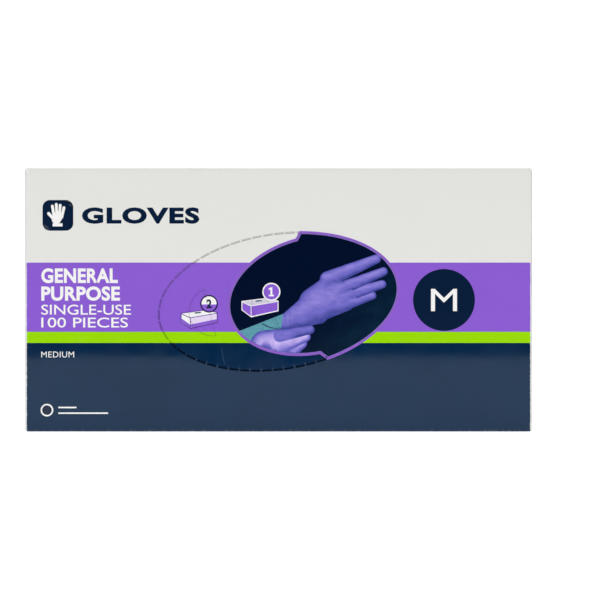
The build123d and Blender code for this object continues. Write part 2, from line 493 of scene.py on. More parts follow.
def hot_melt():
    """Set glue: amber, waxy and a little bubbled."""
    depths = (0.002, 0.001, 0.0005)
    finish = Finish("hot_melt_glue", 0.3, 0.5, Subsurface_Weight=0.3, Subsurface_Radius=depths)
    tone = finish.mix(finish.grain(3.0, 4.0), linear(206, 176, 112), linear(232, 210, 158))
    return finish.finish(tone, None, finish.bump(finish.grain(1.4, 3.0), 0.04))


WHITE = linear(226, 226, 222)
PURPLE = linear(137, 92, 206)
GREEN = linear(150, 214, 4)
NAVY = linear(2, 35, 67)
BLUE_SHEEN = (0.76, 0.94, 1.0, 1.0)
NAVY_UNEVEN = 0.18
BANDS = (
    printed("board_white", WHITE, 0.012),
    printed("board_purple", PURPLE),
    printed("board_green", GREEN),
)
# the bands darkened for the walls of the crushed grooves beside the cuts: painted shade
GROOVE_SHADE_INKS = (
    ink("groove_shade_white", scaled(WHITE, 0.66)),
    ink("groove_shade_purple", scaled(PURPLE, 0.62)),
    ink("groove_shade_green", scaled(GREEN, 0.72)),
    ink("groove_shade_navy", scaled(NAVY, 0.3)),
)
BOWED_NAVY = printed("board_navy", NAVY, NAVY_UNEVEN, bow=BOW_DEPTH, sheen=BLUE_SHEEN)
FLAT_NAVY = printed("board_navy_flat", NAVY, NAVY_UNEVEN, sheen=BLUE_SHEEN)
BARE_BOARD = bare_board()
ZONES = BANDS + (BOWED_NAVY, BARE_BOARD) + GROOVE_SHADE_INKS
FLAT_ZONES = BANDS + (FLAT_NAVY, BARE_BOARD)
PLAIN = 4  # the bare board's place in both lists
GROOVE_SHADE = 5  # from a band's place to its painted groove shade's
GROUND = picture_ground()
NAVY_INK = ink("navy_ink", linear(6, 28, 56), 0.1)
WHITE_INK = ink("white_ink", linear(240, 239, 238), 0.01)
PURPLE_INK = ink("purple_ink", PURPLE)
PALE_INK = ink("pale_lid_ink", linear(205, 200, 216), 0.06)
EDGE_INK = ink("border_dark_ink", linear(142, 96, 200))
RIM_INK = ink("border_light_ink", linear(150, 124, 216))
FAINT_INK = ink("faint_lilac_ink", linear(226, 212, 238))
DEEP_INK = ink("deep_purple_ink", linear(92, 52, 150))
SCRATCH_INK = ink("scratched_navy", linear(44, 70, 98))
GLOVE_INK = picture_glove()
SLEEVE_INK = sleeve()
SEAM_INK = ink("sleeve_seam_ink", linear(40, 80, 96))
CREASE_INK = ink("glove_crease_ink", linear(92, 88, 172))
FILM = nitrile()
GLUE = hot_melt()


def zone(height):
    """Which printed band a height lies in."""
    if height > PURPLE_HIGH:
        return 0
    if height > GREEN_HIGH:
        return 1
    return 2 if height > GREEN_LOW else 3


def paint(obj, is_printed, outside=zone, inks=ZONES):
    """The bands on the printed faces and bare board on the others."""
    obj.data.materials.clear()
    for material in inks:
        obj.data.materials.append(material)
    for face in obj.data.polygons:
        middle = face.center / MM
        face.material_index = outside(middle.z) if is_printed(middle, face.normal) else PLAIN


# ================================================================ the board
def block(name, low, high):
    """A block between two corners, in mm."""
    deselect()
    low, high = Vector(low), Vector(high)
    bpy.ops.mesh.primitive_cube_add(size=1, location=(low + high) * MM / 2, scale=(high - low) * MM)
    obj = added(name)
    bpy.ops.object.transform_apply(location=True, rotation=False, scale=True)
    return obj


def round_edges(obj, test, radius=FOLD, segments=4):
    """Rounds the edges whose two ends pass a test."""
    edit(obj, "EDGE", test)
    bpy.ops.mesh.bevel(offset=radius * MM, segments=segments, profile=0.5, affect="EDGES")
    done()


def near(value, target, gap=0.02):
    """Whether two lengths agree, to a small gap in mm."""
    return abs(value - target) < gap


def lying(axis, level, other):
    """A test for edges that lie at a level of one axis, across the other."""

    def test(start, end):
        at_level = near(start[axis], level) and near(end[axis], level)
        return at_level and near(start[other], end[other])

    return test


def cut_bands(obj):
    """Cuts a piece where one printed band meets the next."""
    cut(obj, (GREEN_LOW, GREEN_HIGH, PURPLE_HIGH), (0, 0, 1))


def sink_creases(obj, outward, half_length):
    """Lets a printed face fall back a little beside its four creases."""
    cut(obj, (-half_length + SOFT, half_length - SOFT), (1, 0, 0))
    cut(obj, (SOFT, HEIGHT - SOFT), (0, 0, 1))
    face = outward * HALF_DEPTH
    for vert in obj.data.vertices:
        x, y, z = vert.co / MM
        if abs(y - face) < BOARD * 0.98:
            beside = max(abs(x) - half_length + SOFT, SOFT - z, z - HEIGHT + SOFT, 0) / SOFT
            vert.co.y -= outward * LEAN * beside * beside * MM


def large_board(name, half, depths, outward, tools=()):
    """The board of a large face between two depths, less some tools, with its bands."""
    obj = block(name, (-half, depths[0], 0), (half, depths[1], HEIGHT))
    round_edges(obj, lying(1, depths[outward > 0], 2))
    for tool in tools:
        carve(obj, tool)
        discard(tool)
    cut_bands(obj)
    sink_creases(obj, outward, half)

    def is_printed(middle, normal):
        level = normal.y * outward
        return level > 0.1 or (level > -0.1 and not SOFT < middle.z < HEIGHT - SOFT)

    paint(obj, is_printed)
    return obj


def front_panel():
    """The large printed face, with the perforated oval cut through it."""
    half = HALF_LENGTH - BOARD
    tools = (oval_prism(SLIT / 2), cut_marks())
    obj = large_board("front_board", half, (front_low.y, front_high.y), -1, tools)
    for face in obj.data.polygons:
        middle = face.center / MM
        in_opening = abs(middle.x) < half - 2 * SOFT and 2 * SOFT < middle.z < HEIGHT - 2 * SOFT
        # the crushed groove walls take their band's darker copy: painted shade
        if in_opening and face.material_index < PLAIN and face.normal.y > CRUSH_NORMAL:
            face.material_index += GROOVE_SHADE
    return hand_over(smooth(obj), "carton", "printed_board", "front_panel")


def back_panel():
    """The plain side behind, with the same bands."""
    obj = large_board("back_board", BACK_HALF - BOARD, (HALF_DEPTH - BOARD, HALF_DEPTH), 1)
    return hand_over(smooth(obj), "carton", "printed_board", "back_panel")


def level_panel(name, node, base, outer):
    """The top or the bottom, between the heights base and outer."""
    inside = HALF_DEPTH - BOARD
    up = 1 if outer > base else -1
    low, high = min(base, outer), max(base, outer)
    obj = block(name, (-TOP_HALF, -inside, low), (TOP_HALF, inside, high))
    round_edges(obj, lying(2, outer, 0))
    cut(obj, (-TOP_HALF + SOFT, TOP_HALF - SOFT), (1, 0, 0))
    cut(obj, (-inside + SOFT, inside - SOFT), (0, 1, 0))
    for vert in obj.data.vertices:
        x, y, z = vert.co / MM
        if near(z, outer) and abs(y) < inside - 0.01:
            swell = max(0, 1 - (x / TOP_HALF) ** 2) * max(0, 1 - (y / inside) ** 2)
            vert.co.z -= up * LEVEL_LEAN * (1 - swell) * MM
    paint(obj, lambda middle, normal: normal.z * up > 0.05)
    return hand_over(smooth(obj), "carton", "printed_board", node)


PANELS = {-1: "front", 1: "back"}


def end_plate(name, node, side, low, high, free_edge):
    """An end flap's plate between two corners, rounded at its free edge, handed over."""
    obj = block(name, low, high)
    round_edges(obj, lying(1, free_edge, 2), FLAP_CORNER, 8)
    cut_bands(obj)
    paint(obj, lambda middle, normal: normal.x * side > 0.5)
    hand_over(smooth(obj), node, "printed_board", node)


def end_flap(side, end, depth):
    """One flap of an end, outer or inner, and the strip where it bends round from its panel."""
    toward = 1 if depth == "inner" else -1
    node = f"{end}_{depth}_flap"
    low, high = corners(node)
    crease = toward * (HALF_DEPTH - BOARD)
    inner = side * ((BACK_HALF if toward > 0 else HALF_LENGTH) - BOARD)
    near_crease, free = (high, low.y) if toward > 0 else (low, high.y)
    near_crease.y = crease
    end_plate(f"{end}_{depth}_board", node, side, low, high, free)
    bend(f"{end}_{PANELS[toward]}_crease", (inner, crease), side, toward, low.z)


def bend(name, hub, side, toward, shy):
    """A quarter-round strip of board about an upright line, between a panel and a flap."""
    x, y = hub
    deselect()
    bpy.ops.mesh.primitive_cylinder_add(
        vertices=48, radius=BOARD * MM, depth=(HEIGHT - 2 * shy) * MM, end_fill_type="NGON"
    )
    obj = settle(added(name), Matrix.Translation(at(x, y, MIDDLE)))
    for direction, keep in (((1, 0, 0), side), ((0, 1, 0), toward)):
        halve(obj, at(x, y, 0), direction, keep)
    clean(obj)
    cut_bands(obj)
    hub_line = Vector((x, y))

    def is_printed(middle, normal):
        return (middle.xy - hub_line).length > BOARD * 0.6 and abs(normal.z) < 0.5

    paint(obj, is_printed)
    smooth(obj, 35, False)
    at(x, y + toward * BOARD, 0)
    at(x + side * BOARD, y, 0)
    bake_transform(obj)


def dust_flap(side, end, level):
    """A short flap folded in from the top or the bottom, narrower at its free end."""
    node = f"{end}_{level}_dust_flap"
    low, high = corners(node)
    tip = low.z if level == "top" else high.z
    obj = block(f"{end}_{level}_dust_board", low, high)
    edit(obj, "VERT", lambda co: near(co.z, tip))
    bpy.ops.transform.resize(value=(1, 1 - DUST_TAPER / high.y, 1), center_override=at(0, 0, tip))
    done()
    round_edges(obj, lying(2, tip, 1), DUST_CORNER, 6)
    paint(obj, lambda middle, normal: normal.x * side > 0.5, lambda z: 0 if level == "top" else 3)
    hand_over(smooth(obj), "carton", "printed_board", node)


def glue_flap():
    """The narrow flap that the back is glued to."""
    low, high = corners("glue_flap")
    obj = block("glue_flap_board", low, high)
    edit(obj, "VERT", lambda co: near(co.z, low.z))
    bpy.ops.transform.resize(value=(1 - GLUE_TAPER / high.x, 1, 1), center_override=at(0, 0, low.z))
    done()
    round_edges(obj, lying(2, low.z, 0), GLUE_CORNER, 5)
    paint(obj, lambda middle, normal: normal.y > 0.5, lambda z: 0)
    hand_over(smooth(obj), "carton", "printed_board", "glue_flap")


# ================================================================ the perforated opening
def span_past(length):
    """A span in depth that runs past the front board by a length on both sides."""
    return front_low.y - length, front_high.y + length


# cutting prisms differ in depth, so that no two of their ends lie in one plane
BOARD_SPAN = span_past(0.0)
CUTTER_SPAN = span_past(3.0)
LEAF_SPAN = span_past(4.0)
SIDE_SPAN = span_past(5.0)


def ellipse_prism(name, shape, grow, span):
    """An elliptical prism standing out from the front, between two depths."""
    (x, z), long_half, short_half, tilt = shape
    deselect()
    bpy.ops.mesh.primitive_cylinder_add(vertices=160, radius=1, depth=1, end_fill_type="NGON")
    size = Matrix.Diagonal(at(long_half + grow, short_half + grow, span[1] - span[0]).to_4d())
    turn = Matrix.Rotation(radians(-tilt), 4, "Y") @ UPRIGHT
    return settle(added(name), Matrix.Translation(at(x, sum(span) / 2, z)) @ turn @ size)


def outline_prism(name, points, span):
    """A prism of a straight-sided outline in the front's plane, between two depths."""
    obj = flat_outline(name, points, span[1] - span[0])
    return settle(obj, Matrix.Translation(at(0, span[1], 0)) @ UPRIGHT)


def flat_outline(name, points, thickness):
    """A filled outline lying flat, its face up, with a thickness. Points are in mm."""
    curve = bpy.data.curves.new(name, "CURVE")
    curve.dimensions = "2D"
    curve.fill_mode = "BOTH"
    curve.extrude = thickness * MM / 2
    spline = curve.splines.new("POLY")
    spline.points.add(len(points) - 1)
    for point, (x, y) in zip(spline.points, points):
        point.co = (x * MM, y * MM, 0, 1)
    spline.use_cyclic_u = True
    obj = meshed(placed(curve))
    obj.data.transform(Matrix.Translation((0, 0, thickness * MM / 2)))
    return clean(obj)


def oval_prism(grow, span=CUTTER_SPAN):
    """The opening's outline, grown."""
    return ellipse_prism("oval", OVAL, grow, span)


def step_line(step, turn, grow):
    """A step's two points, the second past the oval, moved sideways by an amount."""
    inner, outer = (Vector(point) for point in step)
    along = (outer - inner).normalized()
    aside = Vector((-along.y, along.x)) * turn * grow
    return inner + aside, outer + (outer - inner) * 0.5 + aside


def leaf_prism(grow):
    """All that lies on the first tear-out's side of the cut between the two, grown."""
    upper_in, upper_out = step_line(UPPER_STEP, 1, grow)
    lower_in, lower_out = step_line(LOWER_STEP, -1, grow)
    far = OVAL[1] * 1.3
    points = (upper_in, upper_out, (far, upper_out.y), (far, lower_out.y), lower_out, lower_in)
    leaf = ellipse_prism("leaf", LEAF, grow, LEAF_SPAN)
    side = outline_prism("leaf_side", points, SIDE_SPAN)
    carve(leaf, side, "UNION")
    discard(side)
    return leaf


def tab_prism(tab, grow, air, span=CUTTER_SPAN):
    """A half-moon between its arc, grown, and its fold, moved towards the arc."""
    (x, z), first, last = tab
    ends = [
        Vector((x + TAB_RADIUS * cos(radians(angle)), z + TAB_RADIUS * sin(radians(angle))))
        for angle in (first, last)
    ]
    along = (ends[1] - ends[0]).normalized()
    to_arc = Vector((along.y, -along.x))
    middle = (ends[0] + ends[1]) / 2 + to_arc * air
    far = TAB_RADIUS * 3
    corners = (
        middle + along * far,
        middle - along * far,
        middle + (to_arc - along) * far,
        middle + (to_arc + along) * far,
    )
    moon = ellipse_prism("half_moon", ((x, z), TAB_RADIUS, TAB_RADIUS, 0.0), grow, span)
    half = outline_prism("half", corners, SIDE_SPAN)
    carve(moon, half, "INTERSECT")
    discard(half)
    return moon


TABS = {True: TAB_1, False: TAB_2}  # by whether the first tear-out holds it
PRINT_SLOTS = {True: "leaf_print", False: "crescent_print"}


def tear_out(node, first):
    """One perforated piece of the opening, its thumb tab cut free."""
    name = f"{node}_board"
    obj = named(oval_prism(-SLIT / 2, BOARD_SPAN), name)
    leaf = leaf_prism(-SLIT / 2 if first else SLIT / 2)
    moon = tab_prism(TABS[first], SLIT / 2, 0)
    carve(obj, leaf, "INTERSECT" if first else "DIFFERENCE")
    carve(obj, moon)
    discard(leaf, moon)
    cover(obj, first)
    obj = joined(name, [obj] + nicks(first))
    return hand_over(smooth(obj, 30, False), node, PRINT_SLOTS[first], node)


def thumb_tab(node, first):
    """The half-moon push-in tab of a tear-out."""
    obj = named(tab_prism(TABS[first], -SLIT / 2, TAB_AIR, BOARD_SPAN), f"{node}_board")
    cover(obj, first)
    return hand_over(smooth(obj, 30, False), node, PRINT_SLOTS[first], node)


def cover(obj, first):
    """The print of the opening's pieces: the picture's ground, or the front's bands."""
    if not first:
        cut_bands(obj)
    paint(obj, lambda middle, normal: normal.y < -0.5, zone, FLAT_ZONES)
    if first:
        obj.data.materials.append(GROUND)
        for face in obj.data.polygons:
            if face.material_index != PLAIN:
                face.material_index = PLAIN + 1


def oval_point(angle, grow):
    """A point of the oval at an angle of its own circle."""
    (x, z), long_half, short_half, tilt = OVAL
    flat = Vector(((long_half + grow) * cos(angle), (short_half + grow) * sin(angle)))
    turned = Matrix.Rotation(radians(tilt), 2) @ flat
    return Vector((x, z)) + turned


def on_leaf_side(point):
    """Whether a point of the oval lies on the first tear-out."""
    upper, lower = UPPER_STEP[1], LOWER_STEP[1]
    return point.x > (upper[0] if point.y > OVAL[0][1] else lower[0])


def round_the_oval(grow, shift=0.0):
    """Evenly spaced places round the oval, each with its direction of travel.

    shift carries them on by a share of the distance from one to the next.
    """
    steps = 1440  # of the walk round the oval
    points = [oval_point(2 * pi * step / steps, grow) for step in range(steps + 1)]
    length = sum((b - a).length for a, b in zip(points, points[1:]))
    pitch = length / round(length / CUT_PITCH)
    places = []
    walked = shift * pitch
    for last, point in zip(points, points[1:]):
        walked += (point - last).length
        if walked >= pitch * 0.9999:  # the last place isn't lost to rounding
            walked -= pitch
            places.append((point, point - last))
    return places


def laid_along(tool, point, along, depth):
    """Turns a piece to a direction in the front's plane and puts it at a point."""
    turn = Matrix.Rotation(-atan2(along.y, along.x), 4, "Y")
    return settle(tool, Matrix.Translation(at(point.x, depth, point.y)) @ turn)


def nicks(first):
    """The uncut bits of board across the oval's cuts, on one tear-out's part of it."""
    low = Vector((-NICK / 2, -BOARD / 2 - NICK_PROUD, -SLIT / 2))
    high = Vector((NICK / 2, BOARD / 2, BORDER_IN if first else NICK_LENGTH))
    found = []
    for point, along in round_the_oval(0.0):
        if on_leaf_side(point) == first:
            bridge = block("nick", low, high)
            round_edges(bridge, lying(1, low.y, 2), 0.03, 1)
            bridge = laid_along(bridge, point, along, sum(BOARD_SPAN) / 2)
            paint(bridge, lambda middle, normal: normal.y < -0.2)
            if first:
                inked(bridge, RIM_INK)
            found.append(bridge)
    return found


def cut_marks():
    """Wedges that press the front in a little beside each cut, joined as one tool."""
    wedges = []
    length = CUT_PITCH - NICK
    for point, along in round_the_oval(SLIT / 2, 0.5):
        tool = block("wedge", (-length / 2, -1, -CRUSH), (length / 2, 0, 0.3))
        edit(tool, "VERT", lambda co: near(co.y, 0) and co.z > 0)
        bpy.ops.transform.translate(value=(0, CRUSH_DEPTH * MM, 0))
        done()
        wedges.append(laid_along(tool, point, along, front_low.y - 0.005))
    return joined("cut_marks", wedges)


# ================================================================ ink
def inked(obj, material):
    """Gives a film its ink."""
    obj.data.materials.clear()
    obj.data.materials.append(material)
    for face in obj.data.polygons:
        face.material_index = 0
    return obj


def patch(points, material, layer):
    """A printed patch with the given outline."""
    return inked(flat_outline("patch", points, INK * layer), material)


def raise_faces(layer):
    """Raises the selected faces to a layer's height, with walls below them."""
    bpy.ops.mesh.extrude_region_move(TRANSFORM_OT_translate={"value": (0, 0, INK * layer * MM)})


def disc(x, y, radius, material, layer=1, sides=48):
    """A printed disc."""
    deselect()
    bpy.ops.mesh.primitive_circle_add(vertices=sides, radius=radius * MM, fill_type="NGON")
    obj = settle(added("disc"), Matrix.Translation(at(x, y, 0)))
    everything(obj)
    raise_faces(layer)
    done()
    return inked(clean(obj), material)


def words(text, left, right, low, high, material, layer, weight=0.0, spacing=1.0):
    """Lettering stretched to fill a box."""
    deselect()
    bpy.ops.object.text_add()
    obj = added("words")
    obj.data.body = text
    obj.data.resolution_u = 4
    obj.data.offset = weight
    obj.data.space_character = spacing
    obj.data.extrude = 0.5
    obj = meshed(obj)
    across = [vert.co.x for vert in obj.data.vertices]
    up = [vert.co.y for vert in obj.data.vertices]
    width, height = max(across) - min(across), max(up) - min(up)
    size = Matrix.Diagonal(at((right - left) / width, (high - low) / height, INK * layer).to_4d())
    to_corner = Matrix.Translation((-min(across), -min(up), 0))
    obj.data.transform(Matrix.Translation(at(left, low, INK * layer / 2)) @ size @ to_corner)
    return inked(clean(obj, 0.0001), material)


def bar(left, right, low, high, material, layer=1):
    """A printed bar."""
    return patch(((left, low), (right, low), (right, high), (left, high)), material, layer)


def stroke(start, end, radius, material, layer):
    """A round-ended stroke."""
    return inked(lobe_film((start, end, radius, radius), layer), material)


def lobe_film(shape, layer, rings=()):
    """A tapering round-ended patch, from one end and radius to the other."""
    start, end, start_radius, end_radius = shape
    start, end = Vector(start), Vector(end)
    length = (end - start).length
    deselect()
    bpy.ops.mesh.primitive_circle_add(vertices=48, radius=start_radius * MM, fill_type="NGON")
    obj = added("lobe")
    edit(obj, "VERT", lambda co: co.x > 0.001)
    grow = end_radius / start_radius
    bpy.ops.transform.resize(value=(grow, grow, 1), center_override=(0, 0, 0))
    bpy.ops.transform.translate(value=(length * MM, 0, 0))
    bpy.ops.mesh.select_all(action="SELECT")
    raise_faces(layer)
    done()
    clean(obj)
    if rings:
        edit(obj, "FACE", lambda middle, normal: normal.z > 0.5)
        for share in rings:
            bpy.ops.mesh.inset(thickness=min(start_radius, end_radius) * share * MM, depth=0)
        done()
        count = max(2, int(length / LOBE_CELL))
        cut(obj, [length * step / count for step in range(1, count)], (1, 0, 0))
    angle = atan2(end.y - start.y, end.x - start.x)
    return settle(obj, Matrix.Translation(at(start.x, start.y, 0)) @ Matrix.Rotation(angle, 4, "Z"))


FULLNESS = 2.4  # how far out a pictured finger stays bright
TO_LIGHT = Vector((-0.5, 0.85))
SIDE_LIGHT = 0.42  # how much brighter the side to the light is
LOBE_CELL = 1.4  # spacing of the cuts across a pictured finger
LOBE_RINGS = (0.1, 0.16, 0.2, 0.2, 0.18)  # insets from its outline, as shares of its radius


def roundness(point, shape):
    """How far a point is inside a lobe, 0 at its outline, and which way it leans to the light."""
    start, end, start_radius, end_radius = shape
    start, end = Vector(start), Vector(end)
    share = (point - start).dot(end - start) / (end - start).length_squared
    share = max(0.0, min(1.0, share))
    aside = point - start - (end - start) * share
    aside /= start_radius + (end_radius - start_radius) * share
    inside = 1.0 - min(1.0, aside.length) ** FULLNESS
    return inside, aside.dot(TO_LIGHT) * min(1.0, 1.5 * inside)


def pictured(shape, layer, core, light):
    """A lobe of the glove picture. It has no dark outline where it runs into the core."""
    obj = lobe_film(shape, layer, LOBE_RINGS)
    shade = obj.data.attributes.new("shade", "FLOAT", "POINT")
    for vert, value in zip(obj.data.vertices, shade.data):
        point = vert.co.xy / MM
        inside, lean = roundness(point, shape)
        for other in core:
            more, its_lean = roundness(point, other)
            lean = lean * (1 - more) + its_lean * more
            inside = max(inside, more)
        value.value = light * inside + SIDE_LIGHT * lean
    return inked(obj, GLOVE_INK)


# the pictured carton, its front, left end, lid and the lid's slot, each with its own layer
SIGN_OUTLINES = (
    (0, ((-0.3, 3.1), (4.3, -0.35), (17.3, 2.6), (17.3, 7.6), (11.8, 8.9), (-0.3, 7.4))),
    (1, ((4.45, 0.25), (16.85, 3.0), (16.85, 7.0), (4.45, 4.9))),
    (1, ((0.15, 3.25), (4.1, 0.3), (4.1, 4.9), (0.15, 6.7))),
    (1, ((0.2, 7.05), (4.3, 5.25), (16.9, 7.35), (11.7, 8.55))),
    (2, ((6.6, 7.0), (9.6, 7.35), (9.0, 7.9), (6.2, 7.6))),
)


def carton_sign(x, y, inks, layer):
    """A small picture of the carton itself. x and y are its lower left."""
    return [
        patch([(x + across, y + up) for across, up in outline], material, layer + above)
        for (above, outline), material in zip(SIGN_OUTLINES, inks)
    ]


def numbered_disc(x, y, radius, text, ring_ink, disc_ink, text_ink, layer, split=None):
    """A ringed disc with a numeral, and a second ink in its lower part if split."""
    films = [disc(x, y, radius, ring_ink, layer), disc(x, y, radius * 0.85, disc_ink, layer + 1)]
    if split:
        lower = disc(x, y, radius * 0.85, split, layer + 2)
        halve(lower, at(x, y - 0.3, 0), (0, 1, 0), -1)
        films.append(lower)
    if text == "1":
        films.append(figure_one(x, y, radius, text_ink, layer + 3))
    else:
        across, up = radius * 0.3, radius * 0.5
        films.append(words(text, x - across, x + across, y - up, y + up, text_ink, layer + 3, 0.035))
    return films


def figure_one(x, y, height, material, layer):
    """A numeral 1 with a flag and a foot."""
    stem = ((0.28, -0.5), (0.28, -0.32), (0.11, -0.32), (0.11, 0.5), (-0.06, 0.5))
    flag = ((-0.3, 0.36), (-0.3, 0.18), (-0.1, 0.26), (-0.1, -0.32), (-0.28, -0.32))
    outline = ((-0.28, -0.5),) + stem + flag
    points = [(x + height * across, y + height * up) for across, up in outline]
    return patch(points, material, layer)


def glove_sign(x, y, size):
    """An upright glove on a rounded square, as a plain sign for what is inside."""

    def spot(across, up):
        return x + size * across, y + size * up

    half = size / 2
    ground = bar(x - half, x + half, y - half, y + half, NAVY_INK)
    round_edges(ground, lambda a, b: near(a.x, b.x, 0.001) and near(a.y, b.y, 0.001), size * 0.24, 8)
    palm = stroke(spot(-0.05, -0.13), spot(0.02, -0.02), size * 0.15, WHITE_INK, 2)
    parts = [bar(x - size * 0.17, x + size * 0.15, y - size * 0.36, y - size * 0.26, WHITE_INK, 2)]
    for along, reach in ((-0.12, 0.3), (-0.035, 0.36), (0.05, 0.33), (0.13, 0.25)):
        parts.append(stroke(spot(along, -0.05), spot(along * 1.5, reach), size * 0.045, WHITE_INK, 2))
    parts.append(stroke(spot(-0.1, -0.16), spot(-0.3, 0.06), size * 0.05, WHITE_INK, 2))
    for part in parts:
        carve(palm, part, "UNION")
    discard(*parts)
    return [ground, inked(palm, WHITE_INK)]


def place_films(films, face):
    """Films drawn flat, laid on a face."""
    return [settle(film, face) for film in films]


def print_on(name, films, body, slot="printed_board"):
    """The films of one piece, joined."""
    return hand_over(joined(name, films), body, slot)


def split_at_tab(films, tab):
    """The films over a tab, and those around it."""
    tight = tab_prism(tab, -SLIT / 2, TAB_AIR)
    wide = tab_prism(tab, SLIT / 2, 0)
    on_tab, around = [], []
    for film in films:
        part = carve(twin(film, "over_tab"), tight, "INTERSECT")
        if part.data.polygons:
            on_tab.append(part)
            carve(film, wide)
        else:
            discard(part)
        around.append(film)
    discard(tight, wide)
    return on_tab, around


def keep_inside(films, shape):
    """Cuts films off at a shape's outline."""
    for film in films:
        carve(film, shape, "INTERSECT")
    return films


def first_outline(grow, span=CUTTER_SPAN):
    """The first tear-out's outline, grown."""
    shape = oval_prism(grow, span)
    leaf = leaf_prism(grow)
    carve(shape, leaf, "INTERSECT")
    discard(leaf)
    return shape


def border_ring(outer, inner, material, layer):
    """A ring round the first tear-out's outline, between two distances outside it."""
    ring = first_outline(outer, (front_low.y - INK * layer, front_low.y))
    hollow = first_outline(inner)
    carve(ring, hollow)
    discard(hollow)
    return inked(ring, material)


def outer_border():
    """The border outside the first tear-out's cut: on the second tear-out and on the front."""
    on_crescent = border_ring(BORDER_OUT, SLIT / 2, EDGE_INK, 1)
    on_front = twin(on_crescent, "on_front")
    inside, outside = oval_prism(-SLIT / 2), oval_prism(SLIT / 2)
    carve(on_crescent, inside, "INTERSECT")
    carve(on_front, outside)
    discard(inside, outside)
    return on_crescent, on_front


def glove_picture():
    """Two gloved hands on the dark ground: one pulls the other's cuff."""
    wrist = ((4.0, 52.2), (16.5, 58.3), 4.2, 8.2)
    palm = ((17.5, 60.8), (24.8, 65.2), 8.0, 8.7)
    heel = ((13.5, 56.2), (31.0, 63.0), 6.2, 6.0)
    core = (wrist, palm, heel)
    fingers = (
        ((30.0, 60.4), (44.6, 64.6), 3.4, 1.9),
        ((30.5, 64.0), (49.2, 70.0), 3.2, 2.0),
        ((29.5, 67.8), (49.8, 76.0), 3.2, 2.1),
        ((23.5, 72.4), (46.4, 82.0), 3.9, 2.2),
    )
    films = []
    for layer, shape in enumerate(fingers, start=1):
        films.append(pictured(shape, layer, core, 0.62))
    for layer, shape in enumerate(core, start=5):
        films.append(pictured(shape, layer, core + fingers, 0.56))
    folds = (((3.5, 50.4), (3.2, 55.2)), ((5.3, 51.6), (5.5, 56.6)))
    films += [stroke(start, end, 0.13, CREASE_INK, 8) for start, end in folds]
    back = ((-6.0, 40.6), (4.5, 43.6), 7.6, 5.6)
    pinch = (
        (((5.0, 38.6), (11.0, 42.0), 4.6, 2.6), 1.1),
        (((2.0, 41.4), (13.0, 45.0), 4.0, 2.3), 1.25),
        (((0.5, 45.4), (15.0, 48.4), 2.9, 2.1), 0.42),
    )
    cuff = ((-19.0, 47.6), (2.2, 55.9), (1.2, 48.8), (-2.0, 47.6), (-11.0, 42.0), (-16.0, 42.0))
    films.append(patch(cuff, SLEEVE_INK, 10))
    seam_low = ((-7.8, 51.2), (-5.2, 49.6), (-2.0, 48.9), (1.3, 49.0))
    seam_high = ((1.3, 49.3), (-2.0, 49.3), (-5.0, 50.0), (-7.6, 51.5))
    films.append(patch(seam_low + seam_high, SEAM_INK, 11))
    films.append(pictured(back, 12, (back,), 1.1))
    for layer, (shape, light) in enumerate(pinch, start=13):
        films.append(pictured(shape, layer, (back,), light))
    return films


def opening_print():
    """The print on the two tear-outs and their thumb tabs."""
    picture = place_films(glove_picture(), FRONT_FACE)
    inside = first_outline(-SLIT / 2 - BORDER_IN)
    keep_inside(picture, inside)
    discard(inside)
    inks = (WHITE_INK, PURPLE_INK, PURPLE_INK, PALE_INK, SEAM_INK)
    sign = carton_sign(-17.3, 54.6, inks, 17)
    sign += numbered_disc(-3.4, 66.4, 4.3, "1", WHITE_INK, PURPLE_INK, WHITE_INK, 20)
    on_tab, around = split_at_tab(picture + place_films(sign, FRONT_FACE), TAB_1)
    around.append(border_ring(-SLIT / 2, -SLIT / 2 - BORDER_IN, RIM_INK, 2))
    print_on("tear_out_1_print", around, "tear_out_1", PRINT_SLOTS[True])
    print_on("thumb_tab_1_print", on_tab, "thumb_tab_1", PRINT_SLOTS[True])

    inks = (DEEP_INK, FAINT_INK, WHITE_INK, WHITE_INK, SEAM_INK)
    sign = carton_sign(-46.2, 49.0, inks, 1)
    front_band = ((-41.8, 49.3), (-29.4, 52.0), (-29.4, 53.4), (-41.8, 50.9))
    left_band = ((-46.0, 52.3), (-42.1, 49.3), (-42.1, 50.9), (-46.0, 53.7))
    sign += [patch(front_band, PURPLE_INK, 3), patch(left_band, PURPLE_INK, 3)]
    sign += numbered_disc(-33.0, 60.7, 4.2, "2", NAVY_INK, WHITE_INK, NAVY_INK, 4, PURPLE_INK)
    sign.append(patch(((-27.3, 39.3), (-27.0, 39.3), (-25.4, 31.6), (-25.7, 31.6)), SCRATCH_INK, 1))
    on_tab, around = split_at_tab(place_films(sign, FRONT_FACE), TAB_2)
    on_crescent, on_front = outer_border()
    around.append(on_crescent)
    print_on("opening_border_print", [on_front], "carton")
    print_on("tear_out_2_print", around, "tear_out_2", PRINT_SLOTS[False])
    print_on("thumb_tab_2_print", on_tab, "thumb_tab_2", PRINT_SLOTS[False])


LINES = (  # each with its width, foot, head, weight and spacing
    ("GENERAL", 36.4, 70.5, 77.6, 0.036, 1.05),
    ("PURPOSE", 37.4, 62.1, 69.0, 0.036, 1.05),
    ("SINGLE-USE", 42.6, 55.5, 60.3, 0.006, 1.0),
    ("100 PIECES", 41.2, 49.4, 54.2, 0.006, 1.0),
    ("MEDIUM", 15.6, 35.2, 38.0, 0.0, 1.06),
)


def headings(left):
    """The heading, the glove sign and the block of lines that the large faces share."""
    films = glove_sign(left + 7.9, 102.7, 14.6)
    films.append(words("GLOVES", left + 19.3, left + 75.1, 98.7, 106.5, NAVY_INK, 1, 0.045, 1.12))
    for text, width, low, high, weight, spacing in LINES:
        films.append(words(text, left, left + width, low, high, WHITE_INK, 1, weight, spacing))
    return films


